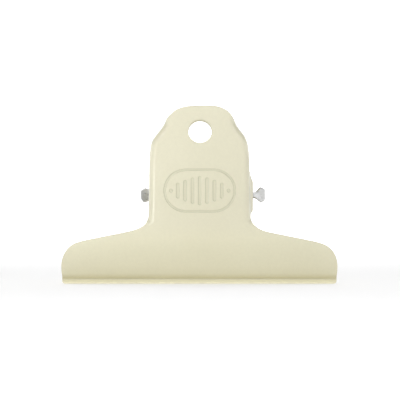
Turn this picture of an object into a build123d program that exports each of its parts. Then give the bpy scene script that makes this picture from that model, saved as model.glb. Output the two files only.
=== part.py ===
from build123d import *
import os
from math import sin, cos, tan, radians, degrees, sqrt, asin, atan2, hypot

os.makedirs("parts", exist_ok=True)

# Bulldog letter clip. Millimetres, +Z up, X along the jaw, front plate towards -Y.
# Origin: middle of the jaw, on the level the lips stand on.

# ---------------- driving dimensions ----------------
jaw_width = 110.0        # overall width of the jaw
clip_height = 71.0       # overall height, lips to handle top
sheet = 0.8              # thickness of both pressed plates
half_gap = 0.15          # half the gap left between the closed jaws
lean = 12.0              # lean of each handle from the middle plane, degrees
belly_angle = 22.0       # lean of the plate where the belly meets the curl
belly_radius = 99.6      # mid-sheet radius of the belly
curl_angle = 55.0        # lean of the plate where the curl meets the crease
curl_radius = 4.6        # mid-sheet radius of the curl
crease_radius = 0.8      # mid-sheet radius of the crease at the pinch line
lip_angle = 45.0         # outward slope of the lip
lip_length = 1.45        # length of the flat of the lip

pivot_z = 35.3           # height of the hinge axis
neck_half = 20.0         # half width of the neck of the handle
shoulder_fillet = 5.0    # radius between neck and shoulder
corner_radius = 8.0      # radius of the outer corners of the jaw
foot_radius = 1.1        # radius of the lower corners of the lip
shoulder_in_z = 22.46    # height of the shoulder line at the neck
shoulder_out_z = 15.37   # height of the shoulder line at the jaw ends

bend_radius = 2.5        # outer radius of the side flange bend
flange_depth = 3.6       # depth of the side flange from the outer face
hang_hole_radius = 4.75  # radius of the hanging hole
hang_hole_x = 0.25        # sideways offset of the hanging hole
hang_hole_z = 60.5       # height of the hanging hole on the outer face

ear_tip_radius = 4.9     # rounding of the ear around the pin
ear_ramp_depth = 5.4     # depth at which the joggle of an ear is complete
pin_radius = 1.2         # hinge pin
pin_hole_radius = 1.27   # holes for the pin in the ears
pin_left = -23.4         # outer end of the left fantail
pin_right = 26.2         # outer end of the right fantail
fantail_left = 4.0       # length of each fantail
fantail_right = 4.5
fantail_half_width = 3.1
fantail_end_half_width = 1.93
fantail_half_thickness = 0.45

rear_shift = 0.0         # sideways float of the rear plate on the pin
front_left_ear = -19.3   # outer face of each ear
front_right_ear = 21.35
rear_left_ear = -18.2
rear_right_ear = 20.0

wire_radius = 0.75       # spring wire
coil_radius = 2.7        # mean radius of the coils
coil_pitch = 1.68
coil_turns = 4           # whole turns, the legs add about a third
coil_outer_x = 14.2      # outer end of each coil from the spring's middle
spring_middle = 0.6      # sideways place of the spring on the pin
spring_leg_clear = 0.193  # gap between a leg and the handle it bears on

# ---------------- side profile of one plate ----------------
# Coordinates (d, z): d is the distance from the middle plane. A lean of t gives
# the outward normal (cos t, -sin t).
def normal(t):
    return cos(radians(t)), -sin(radians(t))


def along(c, r, t):
    n = normal(t)
    return c[0] + r * n[0], c[1] + r * n[1]


def shifted(p, e, t):
    n = normal(t)
    return p[0] + e * n[0], p[1] + e * n[1]


h = sheet / 2
crease_d = half_gap + h + crease_radius
lip_dz = crease_radius * sin(radians(lip_angle)) + lip_length * cos(radians(lip_angle))
crease_z = lip_dz + h * sin(radians(lip_angle))
crease = (crease_d, crease_z)                              # centre of the crease bend
p_lip = along(crease, -crease_radius, -lip_angle)
p_end = (
    p_lip[0] + lip_length * sin(radians(lip_angle)),
    p_lip[1] - lip_length * cos(radians(lip_angle)),
)
p_curl = along(crease, -crease_radius, curl_angle)
curl = along(p_curl, -curl_radius, curl_angle)             # centre of the curl
p_belly = along(curl, curl_radius, belly_angle)
belly = along(p_belly, -belly_radius, belly_angle)         # centre of the belly
p_handle = along(belly, belly_radius, lean)
top_z = clip_height + 2.0
p_top = (p_handle[0] + (top_z - p_handle[1]) * tan(radians(lean)), top_z)

# Handle frame: foot of the perpendicular from the hinge axis on the outer face.
mid_at_pivot = p_handle[0] + (pivot_z - p_handle[1]) * tan(radians(lean))
pivot_depth = mid_at_pivot * cos(radians(lean)) + h        # outer face to hinge axis
foot_z = pivot_z - pivot_depth * sin(radians(lean))


def up(z):
    # distance along the outer face, from the foot, of a point at height z
    return (z - foot_z) / cos(radians(lean))


def handle_plane(side):
    # side -1 is the front plate, +1 the rear. x is global X, y runs up the handle.
    n = (0, side * cos(radians(lean)), -sin(radians(lean)))
    origin = (0, n[1] * pivot_depth, pivot_z + n[2] * pivot_depth)
    return Plane(origin=origin, x_dir=(-side, 0, 0), z_dir=n)


def sheet_profile(side):
    # closed section of the sheet in the YZ plane, lip to handle top
    def at(p):
        return side * p[0], p[1]

    def arc(c, r, a, b):
        return [at(along(c, r, t)) for t in (a, (a + b) / 2, b)]

    with BuildSketch(Plane.YZ) as sk:
        with BuildLine():
            Line(at(shifted(p_end, -h, -lip_angle)), at(shifted(p_end, h, -lip_angle)))
            Line(at(shifted(p_end, h, -lip_angle)), at(shifted(p_lip, h, -lip_angle)))
            ThreePointArc(*arc(crease, -(crease_radius - h), -lip_angle, curl_angle))
            ThreePointArc(*arc(curl, curl_radius + h, curl_angle, belly_angle))
            ThreePointArc(*arc(belly, belly_radius + h, belly_angle, lean))
            Line(at(shifted(p_handle, h, lean)), at(shifted(p_top, h, lean)))
            Line(at(shifted(p_top, h, lean)), at(shifted(p_top, -h, lean)))
            Line(at(shifted(p_top, -h, lean)), at(shifted(p_handle, -h, lean)))
            ThreePointArc(*arc(belly, belly_radius - h, lean, belly_angle))
            ThreePointArc(*arc(curl, curl_radius - h, belly_angle, curl_angle))
            ThreePointArc(*arc(crease, -(crease_radius + h), curl_angle, -lip_angle))
            Line(at(shifted(p_lip, -h, -lip_angle)), at(shifted(p_end, -h, -lip_angle)))
        make_face()
    return sk.sketch


# Head of the handle, right half: points (x, z) from the neck to the fade of the flange,
# then over the top.
head_low = [(neck_half, 49.0), (19.56, 53.6), (18.66, 57.2), (17.2, 59.75), (15.75, 61.4),
            (14.8, 63.0), (14.25, 64.5), (13.45, 66.05), (12.3, 67.6)]
head_top = [(12.3, 67.6), (10.5, 69.1), (7.95, 70.2), (4.2, 70.75), (0, clip_height - sheet * sin(radians(lean)))]


def head_points(points, s):
    return [(s * x, up(z)) for x, z in points]


fade_tangent = (-0.70, 0.71)


def plate_outline(side):
    # outline of the plate seen square to its handle, open past the lip
    low = up(-10)
    with BuildSketch(handle_plane(side)) as sk:
        with BuildLine():
            for s in (1, -1):
                neck_foot = (s * neck_half, up(shoulder_in_z))
                Spline(*head_points(head_low, s), tangents=[(0, 1), (s * fade_tangent[0], fade_tangent[1])])
                Spline(*head_points(head_top, s), tangents=[(s * fade_tangent[0], fade_tangent[1]), (-s, 0)])
                Line((s * neck_half, up(49.0)), neck_foot)
                Line(neck_foot, (s * jaw_width / 2, up(shoulder_out_z)))
                Line((s * jaw_width / 2, up(shoulder_out_z)), (s * jaw_width / 2, low))
            Line((-jaw_width / 2, low), (jaw_width / 2, low))
        make_face()
        inner = [v for v in sk.vertices() if abs(abs(v.X) - neck_half) < 0.01 and abs(v.Y - up(shoulder_in_z)) < 0.01]
        fillet(inner, shoulder_fillet)
        outer = [v for v in sk.vertices() if abs(abs(v.X) - jaw_width / 2) < 0.01 and abs(v.Y - up(shoulder_out_z)) < 0.01]
        fillet(outer, corner_radius)
    return sk.sketch


def foot_outline():
    # front view of the jaw with its rounded lower corners
    with BuildSketch(Plane.XZ) as sk:
        with Locations((0, 45)):
            Rectangle(jaw_width, 90)
        fillet(sk.vertices().group_by(Axis.Y)[0], foot_radius)
    return sk.sketch


flange_low = up(27.4)


def flange_path(side, s):
    with BuildLine() as ln:
        Line((s * neck_half, flange_low), (s * neck_half, up(49.0)))
        Spline(*head_points(head_low, s), tangents=[(0, 1), (s * fade_tangent[0], fade_tangent[1])])
    return handle_plane(side).from_local_coords(ln.wires()[0])


def section_plane(side, s):
    # across the start of the flange: x runs out of the plate edge, y into the depth
    pl = handle_plane(side)
    start = pl.from_local_coords(Vector(s * neck_half, flange_low, 0))
    out = pl.x_dir * s
    depth = pl.z_dir * -1
    return Plane(origin=start, x_dir=out, z_dir=out.cross(depth))


def bend_section(side, s):
    r, t = bend_radius, sheet
    k = sqrt(0.5)
    with BuildSketch(section_plane(side, s)) as sk:
        with BuildLine():
            Line((-r - 1, 0), (-r, 0))
            ThreePointArc((-r, 0), (-r + r * k, r - r * k), (0, r))
            Line((0, r), (0, flange_depth))
            Line((0, flange_depth), (-t, flange_depth))
            Line((-t, flange_depth), (-t, r))
            ThreePointArc((-t, r), (-r + (r - t) * k, r - (r - t) * k), (-r, t))
            Line((-r, t), (-r - 1, t))
            Line((-r - 1, t), (-r - 1, 0))
        make_face()
    return sk.sketch


def bend_clearing(side, s):
    with BuildSketch(section_plane(side, s)) as sk:
        with Locations(((1.0 - bend_radius) / 2, sheet / 2)):
            Rectangle(bend_radius + 1.0, sheet + 1.0)
    return sk.sketch


def side_plane(side):
    # x runs up the handle, y into the depth from the outer face, seen along X
    pl = handle_plane(side)
    depth = pl.z_dir * -1
    return Plane(origin=pl.origin, x_dir=pl.y_dir, z_dir=pl.y_dir.cross(depth))


def flange_trim(side):
    # fades the flange out at its foot and towards the handle top
    a, b = flange_low, up(67.6)
    with BuildSketch(side_plane(side)) as sk:
        with BuildLine():
            Polyline((a - 0.01, sheet + 0.02), (a + 1.2, sheet + 0.1), (a + 4.5, flange_depth + 0.01),
                     (a + 4.5, flange_depth + 0.5), (a - 0.01, flange_depth + 0.5), close=True)
        make_face()
        with BuildLine():
            Polyline((b + 6, sheet + 0.02), (b - 0.8, sheet + 0.05), (b - 8.5, flange_depth + 0.01),
                     (b - 8.5, flange_depth + 0.5), (b + 6, flange_depth + 0.5), close=True)
        make_face()
    return sk.sketch


def ear_outline(side):
    r = ear_tip_radius
    p = pivot_depth
    with BuildSketch(side_plane(side)) as sk:
        with BuildLine():
            Line((10.0, bend_radius), (5.9, ear_ramp_depth))
            Line((5.9, ear_ramp_depth), (r, p - 1.0))
            Line((r, p - 1.0), (r, p))
            ThreePointArc((r, p), (0, p + r), (-r, p))
            Line((-r, p), (-r, ear_ramp_depth))
            Line((-r, ear_ramp_depth), (-6.65, bend_radius))
            Line((-6.65, bend_radius), (10.0, bend_radius))
        make_face()
    return sk.sketch


def ear_section(side, x_flange, x_ear, s):
    # joggled sheet across the ear; x is global X, y the depth
    pl = handle_plane(side)
    depth = pl.z_dir * -1
    a, b = s * abs(x_flange), s * abs(x_ear)
    across = Plane(origin=pl.origin, x_dir=(1, 0, 0), z_dir=Vector(1, 0, 0).cross(depth))
    end = pivot_depth + ear_tip_radius + 1
    with BuildSketch(across) as sk:
        with BuildLine():
            Polyline((a, bend_radius), (a, bend_radius + 0.4), (b, ear_ramp_depth), (b, end), (b - s * sheet, end),
                     (b - s * sheet, ear_ramp_depth), (a - s * sheet, bend_radius + 0.4), (a - s * sheet, bend_radius),
                     close=True)
        make_face()
    return sk.sketch


def ear(side, x_flange, x_ear, s):
    with BuildPart() as e:
        extrude(ear_section(side, x_flange, x_ear, s), amount=16, both=True)
        extrude(ear_outline(side), amount=40, both=True, mode=Mode.INTERSECT)
    return e.part


def pin_holes():
    with BuildSketch(Plane.YZ) as sk:
        with Locations((0, pivot_z)):
            Circle(pin_hole_radius)
    return sk.sketch


def hang_hole(side):
    with BuildSketch(handle_plane(side)) as sk:
        with Locations((-side * hang_hole_x, up(hang_hole_z))):
            Circle(hang_hole_radius)
    return sk.sketch


def motif(side):
    # plain decorative pressing: an oval groove round seven short flutes and two dots
    middle = up(37.1)
    with BuildSketch(handle_plane(side)) as sk:
        with Locations((0.15, middle)):
            SlotOverall(28.6, 17.6)
            SlotOverall(27.0, 16.0, mode=Mode.SUBTRACT)
            for i in range(-3, 4):
                with Locations((i * 2.9, 0)):
                    SlotOverall(11.4 - 1.24 * abs(i) ** 1.35, 1.2, rotation=90)
            for s in (1, -1):
                with Locations((s * 11.4, 0)):
                    Circle(0.75)
    return sk.sketch


# ---------------- front plate ----------------
front_ears = [ear(-1, neck_half, front_right_ear, 1), ear(-1, neck_half, front_left_ear, -1)]
with BuildPart() as front_plate:
    extrude(sheet_profile(-1), amount=jaw_width / 2, both=True)
    extrude(plate_outline(-1), amount=60, both=True, mode=Mode.INTERSECT)
    extrude(foot_outline(), amount=60, both=True, mode=Mode.INTERSECT)
    for s in (1, -1):
        sweep(bend_clearing(-1, s), path=flange_path(-1, s), mode=Mode.SUBTRACT)
        sweep(bend_section(-1, s), path=flange_path(-1, s))
    extrude(flange_trim(-1), amount=30, both=True, mode=Mode.SUBTRACT)
    add(front_ears)
    extrude(pin_holes(), amount=40, both=True, mode=Mode.SUBTRACT)
    extrude(hang_hole(-1), amount=5, both=True, mode=Mode.SUBTRACT)
    extrude(motif(-1), amount=-0.15, mode=Mode.SUBTRACT)
front_plate.part.label = "front_plate"
export_step(front_plate.part, "parts/front_plate.step")

# ---------------- rear plate ----------------
rear_ears = [
    ear(1, neck_half, rear_right_ear - rear_shift, 1),
    ear(1, neck_half, rear_left_ear - rear_shift, -1),
]
with BuildPart() as rear_blank:
    extrude(sheet_profile(1), amount=jaw_width / 2, both=True)
    extrude(plate_outline(1), amount=60, both=True, mode=Mode.INTERSECT)
    extrude(foot_outline(), amount=60, both=True, mode=Mode.INTERSECT)
    for s in (1, -1):
        sweep(bend_clearing(1, s), path=flange_path(1, s), mode=Mode.SUBTRACT)
        sweep(bend_section(1, s), path=flange_path(1, s))
    extrude(flange_trim(1), amount=30, both=True, mode=Mode.SUBTRACT)
    add(rear_ears)
    extrude(pin_holes(), amount=40, both=True, mode=Mode.SUBTRACT)
    extrude(hang_hole(1), amount=5, both=True, mode=Mode.SUBTRACT)
with BuildPart() as rear_plate:
    with Locations((rear_shift, 0, 0)):
        add(rear_blank.part)
rear_plate.part.label = "rear_plate"
export_step(rear_plate.part, "parts/rear_plate.step")

# ---------------- hinge pin ----------------
with BuildPart() as hinge_pin:
    with BuildSketch(Plane.YZ.offset(pin_left + fantail_left)) as shank:
        with Locations((0, pivot_z)):
            Circle(pin_radius)
    extrude(amount=pin_right - pin_left - fantail_left - fantail_right)
    for end, s, fan in ((pin_right, 1, fantail_right), (pin_left, -1, fantail_left)):
        with BuildSketch(Plane.XZ) as planform:
            with BuildLine():
                e, w, m = fantail_end_half_width, fantail_half_width, pivot_z
                n = end - s * fan
                Polyline((n, m - pin_radius), (end - s * 2.1, m - w), (end - s * 1.4, m - w), (end, m - e),
                         (end, m + e), (end - s * 1.4, m + w), (end - s * 2.1, m + w), (n, m + pin_radius),
                         close=True)
            make_face()
        with BuildPart(mode=Mode.PRIVATE) as blade:
            extrude(planform.sketch, amount=pin_radius + 1, both=True)
            with BuildSketch(Plane.XY.offset(pivot_z)) as wedge:
                with BuildLine():
                    g = fantail_half_thickness
                    Polyline((n, -pin_radius), (end - s * 2.4, -g), (end, -g + 0.05), (end, g - 0.05),
                             (end - s * 2.4, g), (n, pin_radius), close=True)
                make_face()
            extrude(wedge.sketch, amount=10, both=True, mode=Mode.INTERSECT)
        add(blade.part)
hinge_pin.part.label = "hinge_pin"
export_step(hinge_pin.part, "parts/hinge_pin.step")

# ---------------- torsion spring ----------------
# One wire: leg on the front handle, coil, bridge along the rear handle, coil, leg.
leg_bear = pivot_depth - sheet - wire_radius - spring_leg_clear   # wire centre to axis, square to the handle
leg_run = 15.0                                                    # length of the slanting run of each leg
slant = asin(leg_bear / hypot(coil_radius, leg_run)) - atan2(coil_radius, leg_run)
leg_lean = radians(lean) + slant                                  # lean of the slanting run
turns = coil_turns + (180 - 2 * degrees(leg_lean)) / 360
coil_length = turns * coil_pitch
leg_tail = 5.0                                                    # run lying along the handle
leg_bend = 3.0                                                    # bend between the two runs
bridge_bend = 3.0


def coil_start(side, x):
    # where the slanting run touches the coil, below the axis on that handle's side
    return Vector(x, side * coil_radius * cos(leg_lean), pivot_z - coil_radius * sin(leg_lean))


def run_direction(side):
    return Vector(0, side * sin(leg_lean), cos(leg_lean))


def tail_direction(side):
    return Vector(0, side * sin(radians(lean)), cos(radians(lean)))


def leg_path(side, x):
    a = coil_start(side, x)
    knee = a + run_direction(side) * leg_run
    cut = leg_bend * tan(slant / 2)
    p1, p2 = knee - run_direction(side) * cut, knee + tail_direction(side) * cut
    return a, p1, p2, knee + tail_direction(side) * leg_tail


x_out = -coil_outer_x
x_in = x_out + coil_length
with BuildPart() as half_spring:
    # coil, wound from the front leg inwards to the bridge
    start = coil_start(-1, x_out)
    frame = Plane(origin=(x_out, 0, pivot_z), x_dir=(start - Vector(x_out, 0, pivot_z)).normalized(), z_dir=(1, 0, 0))
    with BuildLine() as winding:
        Helix(pitch=coil_pitch, height=coil_length, radius=coil_radius)
    coil = frame.from_local_coords(winding.wires()[0])
    with BuildSketch(Plane(origin=coil @ 0, z_dir=coil % 0)):
        Circle(wire_radius)
    sweep(path=coil, is_frenet=True)
    # front leg
    a, p1, p2, end = leg_path(-1, x_out)
    with BuildLine() as leg:
        Line(a, p1)
        TangentArc(p1, p2, tangent=run_direction(-1))
        Line(p2, end)
    with BuildSketch(Plane(origin=a, z_dir=run_direction(-1))):
        Circle(wire_radius)
    sweep(path=leg.wires()[0])
    with Locations(a):
        Sphere(wire_radius + 0.02)
    # rear leg, turning sideways into the bridge
    a, p1, p2, end = leg_path(1, x_in)
    corner = end + tail_direction(1) * bridge_bend
    with BuildLine() as arm:
        Line(a, p1)
        TangentArc(p1, p2, tangent=run_direction(1))
        Line(p2, end)
        TangentArc(end, corner + Vector(bridge_bend, 0, 0), tangent=tail_direction(1))
        Line(corner + Vector(bridge_bend, 0, 0), Vector(0, corner.Y, corner.Z))
    with BuildSketch(Plane(origin=a, z_dir=run_direction(1))):
        Circle(wire_radius)
    sweep(path=arm.wires()[0])
    with Locations(a):
        Sphere(wire_radius + 0.02)
    mirror(about=Plane.YZ)
with BuildPart() as torsion_spring:
    with Locations((spring_middle, 0, 0)):
        add(half_spring.part)
torsion_spring.part.label = "torsion_spring"
export_step(torsion_spring.part, "parts/torsion_spring.step")
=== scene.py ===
import math
import bpy
import numpy as np
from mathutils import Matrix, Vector
from mathutils.geometry import delaunay_2d_cdt


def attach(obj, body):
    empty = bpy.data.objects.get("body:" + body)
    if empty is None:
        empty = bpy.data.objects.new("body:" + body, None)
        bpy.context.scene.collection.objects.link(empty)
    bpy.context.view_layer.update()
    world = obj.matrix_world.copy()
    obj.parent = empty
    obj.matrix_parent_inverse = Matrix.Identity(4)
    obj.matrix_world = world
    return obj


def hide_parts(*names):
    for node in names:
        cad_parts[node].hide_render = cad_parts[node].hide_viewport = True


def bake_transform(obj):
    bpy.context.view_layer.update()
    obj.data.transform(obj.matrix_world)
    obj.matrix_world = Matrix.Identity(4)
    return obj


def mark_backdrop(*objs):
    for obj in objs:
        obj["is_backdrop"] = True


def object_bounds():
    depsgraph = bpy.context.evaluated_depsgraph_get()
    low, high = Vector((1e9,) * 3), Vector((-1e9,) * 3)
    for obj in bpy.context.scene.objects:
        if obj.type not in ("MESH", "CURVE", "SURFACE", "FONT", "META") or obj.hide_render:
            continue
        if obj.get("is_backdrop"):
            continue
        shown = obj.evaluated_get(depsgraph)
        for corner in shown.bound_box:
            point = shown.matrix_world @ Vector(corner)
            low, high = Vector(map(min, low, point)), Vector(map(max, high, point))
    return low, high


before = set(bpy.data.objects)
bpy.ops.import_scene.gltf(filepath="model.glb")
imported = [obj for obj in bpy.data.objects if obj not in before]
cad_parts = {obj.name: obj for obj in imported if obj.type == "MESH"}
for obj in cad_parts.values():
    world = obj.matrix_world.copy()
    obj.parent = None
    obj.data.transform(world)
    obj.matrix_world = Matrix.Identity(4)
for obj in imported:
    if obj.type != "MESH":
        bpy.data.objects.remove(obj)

size_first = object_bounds()
MM = 0.001

# ---------------- form of the plates, in millimetres ----------------
T = 0.8                      # sheet
H = T / 2
ALPHA = math.radians(12.0)   # lean of the handles
PIVOT_Z = 35.3
EDGE = 0.24                  # rounding of the painted sheet edges
R_BEND = 2.5
LEG = 1.1
HOLE_R = 4.75


def nrm(t):
    return np.cos(t), -np.sin(t)


D = math.radians
LIP_A, L_LIP = 45, 1.45      # flare and length of the lip
crease_d = 0.15 + H + 0.8
lip_dz = 0.8 * math.sin(D(LIP_A)) + L_LIP * math.cos(D(LIP_A))
CREASE = (crease_d, lip_dz + H * math.sin(D(LIP_A)))
p_curl = (CREASE[0] - 0.8 * math.cos(D(55)), CREASE[1] + 0.8 * math.sin(D(55)))
CURL = (p_curl[0] - 4.6 * math.cos(D(55)), p_curl[1] + 4.6 * math.sin(D(55)))
p_belly = (CURL[0] + 4.6 * math.cos(D(22)), CURL[1] - 4.6 * math.sin(D(22)))
BELLY = (p_belly[0] - 99.6 * math.cos(D(22)), p_belly[1] + 99.6 * math.sin(D(22)))
p_handle = (BELLY[0] + 99.6 * math.cos(ALPHA), BELLY[1] - 99.6 * math.sin(ALPHA))
mid_pivot = p_handle[0] + (PIVOT_Z - p_handle[1]) * math.tan(ALPHA)
DEPTH = mid_pivot * math.cos(ALPHA) + H          # outer face to hinge axis
FOOT_Z = PIVOT_Z - DEPTH * math.sin(ALPHA)
FOOT_D = DEPTH * math.cos(ALPHA)
V1 = (p_handle[1] - H * math.sin(ALPHA) - FOOT_Z) / math.cos(ALPHA)
L_BELLY, L_CURL, L_CREASE = 100.0 * D(10), 5.0 * D(33), 0.4 * D(55 + LIP_A)
V2 = V1 - L_BELLY
V3 = V2 - L_CURL
V4 = V3 - L_CREASE
V5 = V4 - L_LIP


def profile(v):
    """Outer face of the sheet at distance v along it: (d, z, lean)."""
    v = np.asarray(v, float)
    lean = np.full(v.shape, ALPHA)
    d = FOOT_D + v * math.sin(ALPHA)
    z = FOOT_Z + v * math.cos(ALPHA)
    m = (v < V1) & (v >= V2)
    t = ALPHA + (V1 - v) / 100.0
    lean = np.where(m, t, lean)
    d = np.where(m, BELLY[0] + 100.0 * np.cos(t), d)
    z = np.where(m, BELLY[1] - 100.0 * np.sin(t), z)
    m = (v < V2) & (v >= V3)
    t = D(22) + (V2 - v) / 5.0
    lean = np.where(m, t, lean)
    d = np.where(m, CURL[0] + 5.0 * np.cos(t), d)
    z = np.where(m, CURL[1] - 5.0 * np.sin(t), z)
    m = (v < V3) & (v >= V4)
    t = D(55) - (V3 - v) / 0.4
    lean = np.where(m, t, lean)
    d = np.where(m, CREASE[0] - 0.4 * np.cos(t), d)
    z = np.where(m, CREASE[1] + 0.4 * np.sin(t), z)
    m = v < V4
    s = V4 - v
    lean = np.where(m, D(-LIP_A), lean)
    d = np.where(m, CREASE[0] - 0.4 * math.cos(D(LIP_A)) + s * math.sin(D(LIP_A)), d)
    z = np.where(m, CREASE[1] - 0.4 * math.sin(D(LIP_A)) - s * math.cos(D(LIP_A)), z)
    return d, z, lean


def place(side, x, v, b):
    """A point b below the outer face, and the outward normal there."""
    d, z, t = profile(v)
    nd, nz = nrm(t)
    p = np.stack([x, side * (d - b * nd), z - b * nz], -1)
    n = np.stack([np.zeros_like(nd), side * nd, nz], -1)
    return p, n


vs = np.linspace(V5, 42, 6000)
zs = profile(vs)[1]


def v_at(z):
    return np.interp(z, zs[1:], vs[1:])


# Right half of the outline, (x, z) from the top down to the end of the lip.
HALF = [(0.0, 70.56), (2.6, 70.55), (5.2, 70.42), (7.2, 70.05), (8.6, 69.55), (10.05, 68.85), (11.15, 68.04),
        (12.05, 67.2), (12.72, 66.38), (13.22, 65.62), (13.6, 64.82), (13.88, 64.0), (14.14, 63.2), (14.5, 62.4),
        (14.94, 61.65), (15.48, 60.9), (16.12, 60.1), (16.8, 59.3), (17.44, 58.5), (17.98, 57.72), (18.42, 56.95),
        (18.76, 56.15), (19.08, 55.2), (19.33, 54.1), (19.52, 52.9), (19.7, 51.1), (19.81, 49.1), (19.88, 47.1),
        (19.92, 45.2), (19.96, 41.2), (20.02, 37.0), (20.1, 33.0), (20.2, 29.5), (20.3, 27.1), (20.44, 26.0),
        (20.72, 25.05), (21.22, 24.15), (21.9, 23.3), (22.7, 22.52), (23.7, 21.76), (24.9, 21.12), (26.4, 20.6),
        (28.4, 20.12), (32.7, 19.24), (36.4, 18.5), (40.4, 17.7), (44.4, 16.88), (47.2, 16.24), (49.3, 15.6),
        (50.9, 14.85), (52.2, 13.9), (53.25, 12.72), (54.05, 11.35), (54.6, 9.9), (54.9, 8.4), (55.0, 6.9),
        (54.95, 5.0), (54.8, 3.4)]
LIP_X = 54.72
LIP_R = 1.15


def smooth_open(p, step, sigma):
    """Resamples a polyline by arc length and rounds it slightly, its ends held."""
    seg = np.hypot(*np.diff(p, axis=0).T)
    s = np.concatenate([[0], np.cumsum(seg)])
    n = int(s[-1] / step)
    q = np.stack([np.interp(np.linspace(0, s[-1], n + 1), s, p[:, k]) for k in (0, 1)], -1)
    m = int(3 * sigma / step) + 1
    w = np.exp(-0.5 * (np.arange(-m, m + 1) * step / sigma) ** 2)
    w /= w.sum()
    a = np.concatenate([q[m:0:-1] * [-1, 1], q, 2 * q[-1] - q[-2:-m - 2:-1]])
    return np.stack([np.convolve(a[:, k], w, "valid") for k in (0, 1)], -1)


half = np.array([(x, float(v_at(z))) for x, z in HALF])
half = smooth_open(half, 0.1, 0.55)
corner_v = V5 + LIP_R
tail = [(LIP_X, v) for v in np.arange(half[-1, 1] - 0.25, corner_v, -0.25)]
arc = [(LIP_X - LIP_R + LIP_R * math.cos(a), corner_v - LIP_R * math.sin(a)) for a in np.linspace(0, math.pi / 2, 9)]
flat = [(x, V5) for x in np.arange(LIP_X - LIP_R - 1.0, 0.4, -1.0)]
half = np.concatenate([half, tail, arc, flat, [(0.0, V5)]])
half[0, 0] = 0.0
left = half[1:-1][::-1] * [-1, 1]
outline = np.concatenate([half, left])           # closed, clockwise seen from outside the front plate


def ease(t):
    t = np.clip(t, 0, 1)
    return t * t * (3 - 2 * t)


# the blank is not quite even: the head leans to +X and the +X shoulder runs a little lower
ox, oz = outline[:, 0].copy(), profile(outline[:, 1])[1]
shoulder = ease((np.abs(ox) - 20.6) / 4.0) * ease((54.6 - np.abs(ox)) / 5.0) * ease((oz - 9.0) / 4.0)
outline[:, 1] += 0.026 * ox * ease((oz - 64.0) / 4.0) + shoulder * np.where(ox > 0, 0.17, 0.56)
outline[:, 0] += 0.25 * ease((oz - 55.0) / 4.0)


def resample_closed(p, steps):
    """steps(mid points) gives the wanted spacing; returns points, outward normals and arc length."""
    q = np.concatenate([p, p[:1]])
    seg = np.hypot(*np.diff(q, axis=0).T)
    s = np.concatenate([[0], np.cumsum(seg)])
    want = steps((q[1:] + q[:-1]) / 2)
    k = np.concatenate([[0], np.cumsum(seg / want)])
    n = int(round(k[-1]))
    at = np.interp(np.linspace(0, k[-1], n + 1)[:-1], k, s)
    pts = np.stack([np.interp(at, s, q[:, i]) for i in (0, 1)], -1)
    e = 0.12
    f = np.stack([np.interp((at + e) % s[-1], s, q[:, i]) for i in (0, 1)], -1)
    g = np.stack([np.interp((at - e) % s[-1], s, q[:, i]) for i in (0, 1)], -1)
    t = f - g
    t /= np.hypot(*t.T)[:, None]
    return pts, np.stack([-t[:, 1], t[:, 0]], -1), at, s[-1]


def spacing(m):
    x, v = m[:, 0], m[:, 1]
    w = np.where(v > V1 + 0.5, 0.42, 0.8)
    w = np.where((v < V2 + 0.3) & (v > V4 - 0.15), 0.09, w)
    return np.where((v <= V4 - 0.15) & (v > V5 + 0.02), 0.15, w)


C, N, TAU, TOTAL = resample_closed(outline, spacing)
# outward normals point away from the sheet
if np.dot(N[len(N) // 8], C[len(N) // 8] - np.array([0, 20])) < 0:
    N = -N


def bend_share(c):
    """How far the side flange is bent, 0 to 1, at a point of the outline."""
    v = c[..., 1]
    low = ease((v - v_at(22.6)) / (v_at(26.8) - v_at(22.6)))
    high = 1 - ease((v - v_at(61.5)) / (v_at(69.2) - v_at(61.5)))
    return low * high


PHI = bend_share(C) * math.pi / 2
LEGS = 0.55 + (LEG - 0.55) * bend_share(C)
WIDTH = R_BEND * np.sin(PHI) + LEGS * np.cos(PHI)
BLINE = C - N * WIDTH[:, None]


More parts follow.
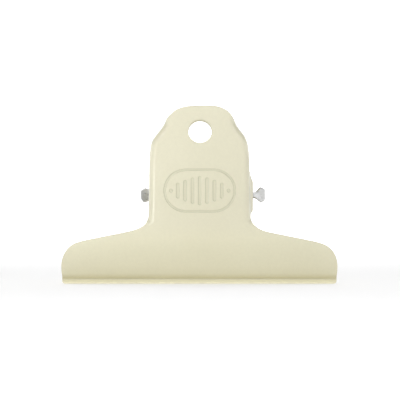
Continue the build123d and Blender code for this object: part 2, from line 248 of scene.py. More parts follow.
class Plate:
    """One pressed plate. ears: outer face x of the ear on +X and -X."""

    def __init__(self, side, shift, ears, pressed):
        self.side, self.shift, self.ears, self.pressed = side, shift, ears, pressed
        self.v, self.n, self.f, self.wear = [], [], [], []

    # --- the web, in (x, v)
    def emboss(self, x, v):
        if not self.pressed:
            return np.zeros_like(x)
        x, w = x - 0.15, v - float(v_at(37.1))
        # oval ring
        a, r = 5.5, 8.4
        d = np.hypot(np.maximum(np.abs(x) - a, 0), w) - r
        ring = 1 - ease((np.abs(d) - 0.26) / 0.26)
        out = ring
        for i in range(-3, 4):
            hl = 5.2 - 0.62 * abs(i) ** 1.35
            g = np.hypot(x - i * 2.9, np.maximum(np.abs(w) - hl, 0))
            out = np.maximum(out, 1 - ease((g - 0.46) / 0.28))
        for s in (-1, 1):
            g = np.hypot(x - s * 11.4, w)
            out = np.maximum(out, 1 - ease((g - 0.5) / 0.3))
        return 0.26 * out

    def web(self, x, v):
        b = self.emboss(x, v)
        p, n = place(self.side, x, v, b)
        return p, n

    # --- the rim, in (outline parameter, s)
    def rim(self, tau, s):
        tau = tau % TOTAL
        t2 = np.concatenate([TAU, [TOTAL]])

        def along(a):
            a = np.concatenate([a, a[:1]])
            return np.stack([np.interp(tau, t2, a[:, k]) for k in range(a.shape[1])], -1)

        c, nn = along(C), along(N)
        nn /= np.hypot(*nn.T)[:, None]
        phi = along(PHI[:, None])[:, 0]
        leg = along(LEGS[:, None])[:, 0]
        width = R_BEND * np.sin(phi) + leg * np.cos(phi)
        psi = np.minimum(s / R_BEND, phi)
        rest = np.maximum(s - R_BEND * phi, 0)
        out = R_BEND * np.sin(psi) + rest * np.cos(phi) - width
        dep = R_BEND * (1 - np.cos(psi)) + rest * np.sin(phi)
        xv = c + nn * out[:, None]
        p, n0 = place(self.side, xv[:, 0], xv[:, 1], dep)
        # direction out of the plate edge, in the face
        d, z, t = profile(xv[:, 1])
        up = np.stack([np.zeros_like(t), self.side * np.sin(t), np.cos(t)], -1)
        edge = np.stack([nn[:, 0], np.zeros_like(t), np.zeros_like(t)], -1) + up * nn[:, 1:2]
        n = n0 * np.cos(psi)[:, None] + edge * np.sin(psi)[:, None]
        # joggle of the ears
        k = ease((dep - 2.75) / 2.55) * (np.abs(xv[:, 1] - 1.5) < 9.6)
        for j, sg in ((0, 1), (1, -1)):
            m = (np.sign(xv[:, 0]) == sg) & (k > 0)
            p[m, 0] += (self.ears[j] - self.shift - xv[m, 0] - 0)[:] * k[m]
        return p, n


def ear_edge():
    """Free edge of an ear as (v, b), from its foot to its head."""
    r = 4.9
    pts = [(-6.3, 3.6), (-5.6, 4.2), (-5.05, 5.2), (-4.9, 6.6), (-4.9, 8.4), (-4.9, DEPTH)]
    pts += [(-r * math.cos(a), DEPTH + r * math.sin(a)) for a in np.linspace(0, math.pi, 25)[1:]]
    pts += [(4.95, 8.4), (5.3, 6.9), (6.2, 5.5), (7.7, 4.5), (9.5, 3.8), (10.8, 3.6)]
    p = np.array(pts)
    seg = np.hypot(*np.diff(p, axis=0).T)
    s = np.concatenate([[0], np.cumsum(seg)])
    u = np.linspace(0, s[-1], int(s[-1] / 0.1))
    q = np.stack([np.interp(u, s, p[:, k]) for k in (0, 1)], -1)
    w = np.exp(-0.5 * (np.arange(-12, 13) * 0.1 / 0.4) ** 2)
    w /= w.sum()
    a = np.concatenate([np.repeat(q[:1], 12, 0), q, np.repeat(q[-1:], 12, 0)])
    q = np.stack([np.convolve(a[:, k], w, "valid") for k in (0, 1)], -1)
    return q[::4]


EAR = ear_edge()


def inside(poly, pts):
    x, y = pts[:, 0], pts[:, 1]
    a, b = poly, np.roll(poly, -1, 0)
    hit = np.zeros(len(pts), bool)
    for (x1, y1), (x2, y2) in zip(a, b):
        if y1 == y2:
            continue
        m = (y1 > y) != (y2 > y)
        hit ^= m & (x < (x2 - x1) * (y - y1) / (y2 - y1) + x1)
    return hit


def nearest(a, b):
    """Distance from each of a to the closest of b."""
    out = np.empty(len(a))
    for i in range(0, len(a), 400):
        d = a[i:i + 400, None, :] - b[None]
        out[i:i + 400] = np.sqrt((d ** 2).sum(-1).min(1))
    return out


def fill(loops, points, gap):
    """Triangles inside the first loop and outside the others. points closer than gap to a loop are dropped."""
    ring = np.concatenate(loops)
    ok = inside(loops[0], points)
    for h in loops[1:]:
        ok &= ~inside(h, points)
    points = points[ok]
    near = nearest(points, ring)
    points = points[near > (gap if np.isscalar(gap) else gap)]
    allp = np.concatenate([ring, points])
    edges, k = [], 0
    for lp in loops:
        m = len(lp)
        edges += [(k + i, k + (i + 1) % m) for i in range(m)]
        k += m
    v, e, f, ov, oe, of = delaunay_2d_cdt([Vector(p) for p in allp], edges, [], 1, 1e-7)
    v = np.array([tuple(p) for p in v])
    src = np.array([o[0] if o else -1 for o in ov])
    tri = np.array([t for t in f if len(t) == 3])
    mid = v[tri].mean(1)
    keep = inside(loops[0], mid)
    for h in loops[1:]:
        keep &= ~inside(h, mid)
    return v, src, tri[keep], [len(lp) for lp in loops]


# row positions of the web: finer where the sheet curves
def density(v):
    w = np.full(v.shape, 1 / 1.5)
    w = np.where(v < V1 + 1, 1 / 1.1, w)
    w = np.where(v < V2 + 0.6, 1 / 0.22, w)
    w = np.where(v < V3 + 0.12, 1 / 0.055, w)
    w = np.where(v < V4 - 0.12, 1 / 0.3, w)
    return w


dv = np.linspace(V5 - 0.5, 42, 40000)
dw = density(dv)
k = np.ones(101) / 101
dw = np.convolve(np.pad(dw, 50, mode="edge"), k, "valid")
vp = np.concatenate([[0], np.cumsum((dw[1:] + dw[:-1]) / 2 * np.diff(dv))]) * 1.3


def stretch(v):
    return np.interp(v, dv, vp)


def unstretch(w):
    return np.interp(w, vp, dv)


HOLE_V = float(v_at(60.5))
HOLE_X = 0.25


def circle(cx, cy, r, n):
    a = np.linspace(0, 2 * math.pi, n, endpoint=False)
    return np.stack([cx + r * np.cos(a), cy + r * np.sin(a)], -1)


def build_plate(name, side, shift, ears, pressed):
    pl = Plate(side, shift, ears, pressed)
    # ---- web
    b_loop = BLINE.copy()
    hole = circle(HOLE_X, HOLE_V, HOLE_R + 0.16, 96)
    to_s = lambda p: np.stack([p[:, 0], stretch(p[:, 1])], -1)
    gx, gw = np.meshgrid(np.arange(-54.6, 54.7, 1.3), np.arange(vp[0], vp[-1], 1.3))
    coarse = np.stack([gx.ravel(), gw.ravel()], -1)
    cv = unstretch(coarse[:, 1])
    if pressed:
        c0 = float(v_at(37.1))
        m = (np.abs(coarse[:, 0] - 0.15) < 15.2) & (np.abs(cv - c0) < 9.9)
        coarse = coarse[~m]
        fx, fv = np.meshgrid(np.arange(-14.9, 15.21, 0.19), np.arange(c0 - 9.6, c0 + 9.61, 0.19))
        fine = np.stack([fx.ravel(), stretch(fv.ravel())], -1)
        coarse = np.concatenate([coarse, fine])
    # grid points closer than 0.18 to the bend line or the hole are dropped
    v2, src, tri, sizes = fill([to_s(b_loop), to_s(hole)], coarse, 0.18)
    xv = np.stack([v2[:, 0], unstretch(v2[:, 1])], -1)
    ring = np.concatenate([b_loop, hole])
    m = (src >= 0) & (src < len(ring))
    xv[m] = ring[src[m]]
    eps = 0.01
    P, n0 = pl.web(xv[:, 0], xv[:, 1])
    px, _ = pl.web(xv[:, 0] + eps, xv[:, 1])
    mx, _ = pl.web(xv[:, 0] - eps, xv[:, 1])
    pv, _ = pl.web(xv[:, 0], xv[:, 1] + eps)
    mv, _ = pl.web(xv[:, 0], xv[:, 1] - eps)
    nn = np.cross(px - mx, pv - mv)
    nn /= np.linalg.norm(nn, axis=1)[:, None]
    nn *= np.sign((nn * n0).sum(1))[:, None]
    web_index = {int(s): i for i, s in enumerate(src) if 0 <= s < len(b_loop)}
    hole_index = {int(s) - len(b_loop): i for i, s in enumerate(src) if len(b_loop) <= s < len(ring)}

    # ---- rim
    nb = len(C)
    S = R_BEND * PHI + LEGS - EDGE
    tau_v0 = []
    ear_loops = []
    top = []           # free edge in (tau, s), following tau
    tau_right = TAU[:nb]
    # tau as a function of v on each neck
    right = (C[:, 0] > 15) & (C[:, 1] > v_at(25.5)) & (C[:, 1] < v_at(52)) & (TAU < TOTAL / 2)
    leftm = (C[:, 0] < -15) & (C[:, 1] > v_at(25.5)) & (C[:, 1] < v_at(52)) & (TAU > TOTAL / 2)
    orr = np.argsort(C[right, 1])
    orl = np.argsort(C[leftm, 1])
    tau_r = lambda v: np.interp(v, C[right, 1][orr], TAU[right][orr])
    tau_l = lambda v: np.interp(v, C[leftm, 1][orl], TAU[leftm][orl])
    BEND_S = R_BEND * math.pi / 2

    def ear_curve(tf):
        t = tf(EAR[:, 0])
        s = BEND_S + EAR[:, 1] - R_BEND
        g = np.stack([t, s], -1)
        tan = np.gradient(g, axis=0)
        tan /= np.hypot(*tan.T)[:, None]
        nor = np.stack([-tan[:, 1], tan[:, 0]], -1)
        if nor[len(nor) // 2, 1] < 0:
            nor = -nor
        return g - nor * EDGE, nor

    er, enr = ear_curve(tau_r)
    el, enl = ear_curve(tau_l)
    if er[0, 0] > er[-1, 0]:
        er, enr = er[::-1], enr[::-1]
    if el[0, 0] > el[-1, 0]:
        el, enl = el[::-1], enl[::-1]
    base = np.stack([TAU, np.zeros(nb)], -1)
    free = np.stack([TAU, S], -1)
    fn = np.tile([0.0, 1.0], (nb, 1))
    ds = np.gradient(S, TAU)
    fn = np.stack([-ds, np.ones(nb)], -1)
    fn /= np.hypot(*fn.T)[:, None]
    pieces, norms = [], []
    for lo, hi in ((None, er), (er, el), (el, None)):
        a = -1 if lo is None else lo[-1, 0] + 0.25
        b = TOTAL + 1 if hi is None else hi[0, 0] - 0.25
        m = (TAU > a) & (TAU < b)
        pieces.append(free[m]); norms.append(fn[m])
        if hi is not None:
            pieces.append(hi); norms.append(enr if hi is er else enl)
    top = np.concatenate(pieces)
    topn = np.concatenate(norms)
    # the strip is cut open at tau = 0, the middle of the handle top
    end_base = np.array([[TOTAL, 0.0]])
    end_top = np.array([[TOTAL, S[0]]])
    loop = np.concatenate([base, end_base, end_top, top[::-1]])
    n_base, n_top = nb, len(top)
    pin_s = BEND_S + DEPTH - R_BEND
    holes = []
    for tf in (tau_r, tau_l):
        holes.append(circle(float(tf(0.0)), pin_s, 1.27 + 0.12, 28))
    rows = np.concatenate([np.linspace(0, BEND_S, 12)[1:], BEND_S + np.arange(0.35, 14, 0.5)])
    pts = []
    for i in range(1, nb):
        t = TAU[i]
        if PHI[i] > 0.02:
            for s in rows:
                pts.append((t, s))
        else:
            pts.append((t, 0.16))
    pts = np.array(pts)
    near_ear = (pts[:, 1] > BEND_S + 0.2)
    keep = ~near_ear | (inside(np.concatenate([er, [[er[-1, 0], BEND_S]], [[er[0, 0], BEND_S]]]), pts)
                        | inside(np.concatenate([el, [[el[-1, 0], BEND_S]], [[el[0, 0], BEND_S]]]), pts))
    pts = pts[keep]
    w2, wsrc, wtri, _ = fill([loop] + holes, pts, 0.10)
    Q, q0 = pl.rim(w2[:, 0], w2[:, 1])
    ta, _ = pl.rim(w2[:, 0] + 0.02, w2[:, 1])
    tb, _ = pl.rim(w2[:, 0] - 0.02, w2[:, 1])
    sa, _ = pl.rim(w2[:, 0], w2[:, 1] + 0.02)
    sb, _ = pl.rim(w2[:, 0], w2[:, 1] - 0.02)
    qn = np.cross(ta - tb, sa - sb)
    ln = np.linalg.norm(qn, axis=1)
    qn = np.where(ln[:, None] > 1e-9, qn / np.maximum(ln, 1e-9)[:, None], q0)
    sg = np.sign((qn * q0).sum(1))
    qn *= np.where(sg == 0, 1, sg)[:, None]
    src_at = {int(s): i for i, s in enumerate(wsrc) if s >= 0}

    V = [P]
    NRM = [nn]
    OFF = len(P)
    # rim vertices that coincide with web ones
    remap = np.arange(len(w2)) + OFF
    for i in range(nb):
        remap[src_at[i]] = web_index[i]
    remap[src_at[nb]] = web_index[0]                        # the end of the strip meets its start
    # free-edge vertex at the cut: (TOTAL, S0) is the same as top[0]
    first_top = nb + 2 + n_top - 1
    remap[src_at[nb + 1]] = remap[src_at[first_top]]
    V.append(Q); NRM.append(qn)
    outer = np.concatenate(V)
    normal = np.concatenate(NRM)
    tris = np.concatenate([tri, remap[wtri]])
    # orient outwards
    a, b, c = outer[tris[:, 0]], outer[tris[:, 1]], outer[tris[:, 2]]
    fnm = np.cross(b - a, c - a)
    fl = (fnm * (normal[tris].sum(1))).sum(1) < 0
    tris[fl] = tris[fl][:, ::-1]
    area = np.linalg.norm(fnm, axis=1)
    tris = tris[area > 1e-9]
    tris = tris[(tris[:, 0] != tris[:, 1]) & (tris[:, 1] != tris[:, 2]) & (tris[:, 0] != tris[:, 2])]

    # ---- inner face
    inner = outer - normal * T
    base_n = np.concatenate([place(side, xv[:, 0], xv[:, 1], 0)[1], q0])
    inner[:len(P)] = P - base_n[:len(P)] * T
    nv = len(outer)
    verts = [outer, inner]
    norms3 = [normal, -np.concatenate([nn, qn])]
    faces = [tris, tris[:, ::-1] + nv]
    wear = [np.zeros(nv), np.zeros(nv)]

    # ---- rounded edges along the free rim, the hang hole and the pin holes
    def edge_strip(idx, dirs, r, closed=True):
        idx = np.array(idx)
        o, n = outer[idx], normal[idx]
        i_ = inner[idx]
        d3 = dirs - n * (dirs * n).sum(1)[:, None]
        d3 /= np.linalg.norm(d3, axis=1)[:, None]
        rings, rn = [], []
        for a in np.linspace(0, math.pi / 2, 5)[1:]:
            rings.append(o + d3 * r * math.sin(a) - n * r * (1 - math.cos(a)))
            rn.append(n * math.cos(a) + d3 * math.sin(a))
        for a in np.linspace(math.pi / 2, 0, 5)[:-1]:
            rings.append(i_ + d3 * r * math.sin(a) + n * r * (1 - math.cos(a)))
            rn.append(-n * math.cos(a) + d3 * math.sin(a))
        start = sum(len(x) for x in verts)
        m = len(idx)
        verts.append(np.concatenate(rings)); norms3.append(np.concatenate(rn))
        wear.append(np.ones(m * len(rings)))
        wear[0][idx] = 0.6
        wear[1][idx] = 0.6
        layers = [idx] + [start + k * m + np.arange(m) for k in range(len(rings))] + [idx + nv]
        q = []
        for la, lb in zip(layers, layers[1:]):
            for j in range(m if closed else m - 1):
                jn = (j + 1) % m
                q.append((la[j], la[jn], lb[jn], lb[j]))
        q = np.array(q)
        allv = np.concatenate(verts)
        alln = np.concatenate(norms3)
        fnn = np.cross(allv[q[:, 1]] - allv[q[:, 0]], allv[q[:, 3]] - allv[q[:, 0]])
        bad = (fnn * alln[q].sum(1)).sum(1) < 0
        q[bad] = q[bad][:, ::-1]
        faces.append(q)

    # free rim
    idx = [int(remap[src_at[nb + 2 + (n_top - 1 - j)]]) for j in range(n_top)]
    e = 0.02
    t0, _ = pl.rim(top[:, 0], top[:, 1])
    t1, _ = pl.rim(top[:, 0] + topn[:, 0] * e, top[:, 1] + topn[:, 1] * e)
    dirs = t1 - t0
    dirs /= np.linalg.norm(dirs, axis=1)[:, None]
    edge_strip(idx, dirs, EDGE)
    # hang hole
    hi = [hole_index[j] for j in range(96)]
    up = np.array([0, side * math.sin(ALPHA), math.cos(ALPHA)])
    a = np.linspace(0, 2 * math.pi, 96, endpoint=False)
    dirs = -(np.cos(a)[:, None] * np.array([1.0, 0, 0]) + np.sin(a)[:, None] * up)
    edge_strip(hi, dirs, EDGE)
    # pin holes
    start = len(loop)
    for h, lp in enumerate(holes):
        hi = [int(remap[src_at[start + j]]) for j in range(len(lp))]
        cen, _ = pl.rim(np.array([lp[:, 0].mean()]), np.array([lp[:, 1].mean()]))
        dirs = cen - outer[hi]
        dirs /= np.linalg.norm(dirs, axis=1)[:, None]
        edge_strip(hi, dirs, 0.12)
        start += len(lp)

    verts = np.concatenate(verts)
    norms3 = np.concatenate(norms3)
    wear = np.concatenate(wear)
    verts[:, 0] += shift
    flist = [tuple(int(i) for i in t) for part in faces for t in part]
    me = bpy.data.meshes.new(name)
    me.from_pydata([tuple(p) for p in verts * MM], [], flist)
    # drop vertices no face uses
    usedv = np.zeros(len(verts), bool)
    for t in flist:
        for i in t:
            usedv[i] = True
    me.update()
    me.polygons.foreach_set("use_smooth", [True] * len(me.polygons))
    att = me.attributes.new("edge_wear", "FLOAT", "POINT")
    att.data.foreach_set("value", wear.astype(np.float32))
    # painted shade for the pressed grooves: a weight from the pressing depth at each vertex, highest on the groove
    # walls
    groove_shade_weight = np.zeros(len(verts))
    em = pl.emboss(xv[:, 0], xv[:, 1]) / 0.26
    groove_shade_weight[:len(P)] = np.where(em > 0.02, 0.35 + 0.65 * np.clip(4 * em * (1 - em), 0, 1), 0)
    att = me.attributes.new("painted_groove_shade", "FLOAT", "POINT")
    att.data.foreach_set("value", groove_shade_weight.astype(np.float32))
    norms3 /= np.maximum(np.linalg.norm(norms3, axis=1), 1e-9)[:, None]
    me.normals_split_custom_set_from_vertices([tuple(x) for x in norms3])
    ob = bpy.data.objects.new(name, me)
    bpy.context.scene.collection.objects.link(ob)
    # remove loose vertices
    import bmesh
    bm = bmesh.new(); bm.from_mesh(me)
    loose = [x for x in bm.verts if not x.link_faces]
    print(name, "verts", len(verts), "faces", len(flist), "loose", len(loose),
          "open edges", sum(1 for x in bm.edges if len(x.link_faces) != 2))
    if loose:
        bmesh.ops.delete(bm, geom=loose, context="VERTS")
        keepv = usedv
        bm.to_mesh(me)
        me.update()
        me.normals_split_custom_set_from_vertices([tuple(x) for x in norms3[keepv]])
    bm.free()
    return ob


front = build_plate("front_pressing", -1, 0.0, (21.35, -19.3), True)
rear = build_plate("rear_pressing", 1, 0.0, (20.0, -18.2), False)


# ---------------- tubes and turned pieces ----------------
def lofted(name, rings, caps=True, smooth=True):
    """A closed skin through rings of equal point counts, in millimetres."""
    n, m = len(rings), len(rings[0])
    v = [tuple(p) for r in rings for p in r]
    f = []
    for i in range(n - 1):
        for j in range(m):
            k = (j + 1) % m
            f.append((i * m + j, i * m + k, (i + 1) * m + k, (i + 1) * m + j))
    if caps:
        for end in (0, n - 1):
            c = len(v)
            v.append(tuple(np.mean(rings[end], 0)))
            for j in range(m):
                k = (j + 1) % m
                t = (end * m + j, end * m + k, c)
                f.append(t[::-1] if end == 0 else t)
    me = bpy.data.meshes.new(name)
    me.from_pydata([tuple(np.array(p) * MM) for p in v], [], f)
    me.update()
    import bmesh
    bm = bmesh.new(); bm.from_mesh(me)
    bmesh.ops.recalc_face_normals(bm, faces=bm.faces)
    bm.to_mesh(me); bm.free()
    me.polygons.foreach_set("use_smooth", [smooth] * len(me.polygons))
    ob = bpy.data.objects.new(name, me)
    bpy.context.scene.collection.objects.link(ob)
    return ob


def tube(name, path, r, sides=16, round_ends=True):
    """A wire of radius r along the path, its start rounded off when round_ends is set."""
    p = np.array(path, float)
    t = np.gradient(p, axis=0)
    t /= np.linalg.norm(t, axis=1)[:, None]
    u = np.cross(t[0], [1.0, 0, 0])
    if np.linalg.norm(u) < 1e-3:
        u = np.cross(t[0], [0, 1.0, 0])
    u /= np.linalg.norm(u)
    rings = []
    a = np.linspace(0, 2 * math.pi, sides, endpoint=False)
    for i in range(len(p)):
        u = u - t[i] * np.dot(u, t[i])
        u /= np.linalg.norm(u)
        w = np.cross(t[i], u)
        rings.append(p[i] + r * (np.cos(a)[:, None] * u + np.sin(a)[:, None] * w))
        if i == 0 and round_ends:
            first = [p[i] - t[i] * r * 0.18 * k + (rings[-1] - p[i]) * math.sqrt(1 - k * k * 0.55)
                     for k in (1.0, 0.75, 0.4)]
    out = (first if round_ends else []) + rings
    return lofted(name, out)


# hinge pin: a wire with both ends hammered flat
def pin_ring(x, w, h, p, zc=0.0, lean_x=0.0):
    a = np.linspace(0, 2 * math.pi, 40, endpoint=False)
    c, s = np.cos(a), np.sin(a)
    y = h * np.sign(c) * np.abs(c) ** p
    z = w * np.sign(s) * np.abs(s) ** p
    return np.stack([np.full_like(y, x) + lean_x * z, y, PIVOT_Z + zc + z], -1)


right_end = [(21.72, 1.2, 1.2, 1.0, 0, 0), (22.1, 1.28, 1.08, .97, 0, 0), (22.55, 1.55, .86, .88, .02, -.02),
             (23.1, 2.02, .66, .74, .05, -.04), (23.7, 2.6, .52, .62, .08, -.06), (24.15, 3.05, .46, .5, .1, -.06),
             (24.42, 3.16, .44, .46, .12, -.05), (24.7, 3.08, .43, .46, .13, -.04), (25.1, 2.84, .42, .46, .14, -.02),
             (25.6, 2.5, .41, .44, .16, 0), (25.98, 2.24, .4, .44, .18, .01), (26.12, 2.14, .37, .44, .18, .01),
             (26.19, 1.86, .28, .5, .18, .01), (26.2, 1.7, .15, .5, .18, .01)]
left_end = [(-19.40, 1.2, 1.2, 1.0, 0, 0), (-19.48, 1.5, 1.0, .9, 0, 0), (-19.6, 2.0, .74, .76, 0, .02),
            (-19.8, 2.3, .56, .66, .02, .04), (-20.3, 2.5, .49, .6, .02, .05), (-21.0, 2.68, .46, .56, .02, .06), (-21.6, 2.86, .45, .54, .02, .08),
            (-22.05, 2.92, .43, .52, .02, .09), (-22.35, 2.74, .42, .52, .03, .07), (-22.75, 2.4, .41, .52, .06, .04),
            (-23.15, 2.06, .39, .5, .1, .02), (-23.3, 1.9, .36, .5, .12, .01), (-23.38, 1.75, .26, .5, .12, 0),
            (-23.4, 1.6, .14, .5, .12, 0)]
mid_x = np.linspace(-19.2, 21.5, 60)
rings = [pin_ring(*s) for s in left_end[::-1]] + [pin_ring(x, 1.2, 1.2, 1.0) for x in mid_x] + \
        [pin_ring(*s) for s in right_end]
for k, r in enumerate(rings):          # hammer marks across the flats
    x = r[:, 0]
    zr = r[:, 2] - PIVOT_Z
    flat = np.where(x < 0, ease((-x - 19.35) / 0.5), ease((x - 23.2) / 1.2))
    dent = np.where(x < 0, 0.012, 0.035) * np.sin(x * 5.1 + zr * 1.3) + 0.03 * np.sin(zr * 3.7 - x * 1.9 + 1.0)
    r[:, 1] += flat * dent * np.sign(r[:, 1]) * (np.abs(r[:, 1]) > 0.2)
    r[:, 1] += np.where(x < 0, 0.26 * zr + 0.12 * (x + 21.5), -0.16 * zr) * flat
pin = lofted("pin_wire", rings)

# torsion spring, one wire in two mirrored halves that meet in the bridge
RW, RC, PITCH = 0.75, 2.7, 1.68
bear = DEPTH - T - RW - 0.193
RUN, TAIL, KNEE, BEND = 15.0, 5.0, 3.0, 3.0
slant = math.asin(bear / math.hypot(RC, RUN)) - math.atan2(RC, RUN)
LEAN = ALPHA + slant
TURNS = 4 + (math.pi - 2 * LEAN) / (2 * math.pi)
X_OUT = -14.2
X_IN = X_OUT + TURNS * PITCH
MID = 0.6


def run_dir(s):
    return np.array([0, s * math.sin(LEAN), math.cos(LEAN)])


def tail_dir(s):
    return np.array([0, s * math.sin(ALPHA), math.cos(ALPHA)])


def knee_arc(p, d0, d1, ang, r):
    """Points of a bend of radius r about the corner p, from direction d0 to d1."""
    cut = r * math.tan(ang / 2)
    a, b = p - d0 * cut, p + d1 * cut
    n = d1 - d0 * np.dot(d0, d1)
    n /= np.linalg.norm(n)
    c = a + n * r
    return [c - n * r * math.cos(t) + d0 * r * math.sin(t) for t in np.linspace(0, ang, 9)]


def leg(side, x):
    a = np.array([x, side * RC * math.cos(LEAN), PIVOT_Z - RC * math.sin(LEAN)])
    knee = a + run_dir(side) * RUN
    return a, knee, knee + tail_dir(side) * TAIL


a, knee, end = leg(-1, X_OUT)
path = [end, end - tail_dir(-1) * 1.5] + knee_arc(knee, run_dir(-1), tail_dir(-1), slant, KNEE)[::-1]
path += [a + run_dir(-1) * s for s in np.linspace(RUN * 0.8, 1.0, 6)]
start_phi = math.atan2(-math.cos(LEAN), -math.sin(LEAN))     # angle from up towards the rear
steps = int(TURNS * 44)
coil = []
for i in range(steps + 1):
    f = i / steps
    g = ease(np.array(min(f * 8, 1.0))) * 0.5 + 0.5
    ph = start_phi - 2 * math.pi * TURNS * f
    coil.append(np.array([X_OUT + (X_IN - X_OUT) * f, RC * math.sin(ph), PIVOT_Z + RC * math.cos(ph)]))
path += coil
a, knee, end = leg(1, X_IN)
path += [a + run_dir(1) * s for s in np.linspace(1.0, RUN * 0.8, 6)]
path += knee_arc(knee, run_dir(1), tail_dir(1), slant, KNEE)
path += [end - tail_dir(1) * 1.2]
corner = end + tail_dir(1) * BEND
path += knee_arc(corner, tail_dir(1), np.array([1.0, 0, 0]), math.pi / 2, BEND)
path += [np.array([x, corner[1], corner[2]]) for x in np.linspace(X_IN + BEND + 0.8, 0, 5)]
dense = []
for p, q in zip(path, path[1:]):
    m = max(1, int(np.linalg.norm(q - p) / 1.2))
    dense += [p + (q - p) * k / m for k in range(m)]
dense.append(path[-1])
dense = np.array(dense)
springs = []
for s, nm in ((1, "spring_left"), (-1, "spring_right")):
    q = dense * [s, 1, 1] + [MID, 0, 0]
    springs.append(tube(nm, q, RW, 18))


# ---------------- materials ----------------
def material(name):
    m = bpy.data.materials.new(name)
    m.use_nodes = True
    nt = m.node_tree
    b = nt.nodes["Principled BSDF"]
    return m, nt, b


def node(nt, kind, **v):
    n = nt.nodes.new(kind)
    for k, x in v.items():
        if k in n.inputs.keys():
            n.inputs[k].default_value = x
        else:
            setattr(n, k, x)
    return n


def noise(nt, co, scale, detail=4.0, rough=0.55, seed=0.0):
    n = node(nt, "ShaderNodeTexNoise", Scale=scale, Detail=detail, Roughness=rough)
    n.noise_dimensions = "4D"
    n.inputs["W"].default_value = seed
    nt.links.new(co, n.inputs["Vector"])
    return n.outputs["Fac"]


def ramp(nt, fac, stops):
    r = nt.nodes.new("ShaderNodeValToRGB")
    while len(r.color_ramp.elements) < len(stops):
        r.color_ramp.elements.new(0.5)
    for e, (p, c) in zip(r.color_ramp.elements, stops):
        e.position = p
        e.color = c if len(c) == 4 else (*c, 1)
    nt.links.new(fac, r.inputs["Fac"])
    return r.outputs["Color"]


def grey(v):
    return (v, v, v, 1)


def mixc(nt, fac, a, b, mode="MIX"):
    n = nt.nodes.new("ShaderNodeMix")
    n.data_type = "RGBA"
    n.blend_type = mode
    n.clamp_factor = True
    for s, x in ((0, fac), (6, a), (7, b)):
        if isinstance(x, (int, float)):
            n.inputs[s].default_value = x
        elif isinstance(x, tuple):
            n.inputs[s].default_value = x
        else:
            nt.links.new(x, n.inputs[s])
    return n.outputs[2]


def math_(nt, op, a, b=None):
    n = nt.nodes.new("ShaderNodeMath")
    n.operation = op
    n.use_clamp = False
    for s, x in ((0, a), (1, b)):
        if x is None:
            continue
        if isinstance(x, (int, float)):
            n.inputs[s].default_value = x
        else:
            nt.links.new(x, n.inputs[s])
    return n.outputs[0]


IVORY = (0.800, 0.765, 0.590, 1)

m_enamel, nt, b = material("ivory_enamel")
tc = nt.nodes.new("ShaderNodeTexCoord")
co = tc.outputs["Object"]
sep = nt.nodes.new("ShaderNodeSeparateXYZ")
nt.links.new(co, sep.inputs[0])
wear = node(nt, "ShaderNodeAttribute", attribute_name="edge_wear").outputs["Fac"]
cloud = noise(nt, co, 38.0, 3, 0.5, 1.0)
tone = ramp(nt, cloud, [(0.3, (0.846, 0.808, 0.603)), (0.7, (0.874, 0.837, 0.632))])
# painted shade and painted light by height: the enamel is darkened down the belly and darkest in the crease above the
# lip, and the lip itself is brightened with painted light
low = ramp(nt, math_(nt, "MULTIPLY", sep.outputs["Z"], 1 / 0.071),
           [(0.0215, (1.13, 1.13, 1.10)), (0.0245, (1.0, 1.0, 1.0)), (0.0290, (0.74, 0.72, 0.64)), (0.0400, (0.74, 0.72, 0.64)),
            (0.060, (0.83, 0.82, 0.765)), (0.10, (0.875, 0.87, 0.84)), (0.20, (0.905, 0.905, 0.88)),
            (0.26, (0.94, 0.94, 0.925)), (0.34, (0.91, 0.91, 0.91)), (0.46, (0.875, 0.875, 0.875))])
tone = mixc(nt, 1.0, tone, low, "MULTIPLY")
fine = noise(nt, co, 900.0, 2, 0.5, 2.0)
tone = mixc(nt, 0.05, tone, ramp(nt, fine, [(0.35, grey(0.55)), (0.65, grey(1.0))]), "MULTIPLY")
# enamel draws thin over the sheet edges and lets a little of the steel tone through
thin = math_(nt, "MULTIPLY", wear, ramp(nt, noise(nt, co, 420.0, 4, 0.6, 3.0), [(0.42, grey(0.05)), (0.62, grey(0.75))]))
tone = mixc(nt, math_(nt, "MULTIPLY", thin, 0.30), tone, (0.60, 0.555, 0.40, 1))
# a few pin-point specks in the enamel
vor = node(nt, "ShaderNodeTexVoronoi", Scale=210.0)
vor.feature = "F1"
nt.links.new(co, vor.inputs["Vector"])
speck = ramp(nt, vor.outputs["Distance"], [(0.0, grey(1.0)), (0.045, grey(0.0))])
pick = ramp(nt, noise(nt, co, 150.0, 1, 0.5, 4.0), [(0.60, grey(0.0)), (0.66, grey(1.0))])
tone = mixc(nt, math_(nt, "MULTIPLY", math_(nt, "MULTIPLY", speck, pick), 0.35), tone, (0.42, 0.36, 0.24, 1))
# painted shade: the groove walls of the pressed motif are darkened
painted_groove_shade = node(nt, "ShaderNodeAttribute", attribute_name="painted_groove_shade").outputs["Fac"]
tone = mixc(nt, math_(nt, "MULTIPLY", painted_groove_shade, 0.75), tone, (0.52, 0.52, 0.37, 1))
nt.links.new(tone, b.inputs["Base Color"])
rough = ramp(nt, noise(nt, co, 120.0, 4, 0.6, 5.0), [(0.3, grey(0.33)), (0.7, grey(0.42))])
nt.links.new(rough, b.inputs["Roughness"])
b.inputs["IOR"].default_value = 1.5
b.inputs["Coat Weight"].default_value = 0.9
b.inputs["Coat Roughness"].default_value = 0.14
b.inputs["Coat IOR"].default_value = 1.6
peel = noise(nt, co, 620.0, 2, 0.45, 6.0)
wide = noise(nt, co, 90.0, 2, 0.45, 7.0)
bump2 = node(nt, "ShaderNodeBump", Strength=0.16, Distance=0.00006)
nt.links.new(wide, bump2.inputs["Height"])
bump = node(nt, "ShaderNodeBump", Strength=0.10, Distance=0.00002)
nt.links.new(peel, bump.inputs["Height"])
nt.links.new(bump2.outputs["Normal"], bump.inputs["Normal"])
nt.links.new(bump.outputs["Normal"], b.inputs["Normal"])


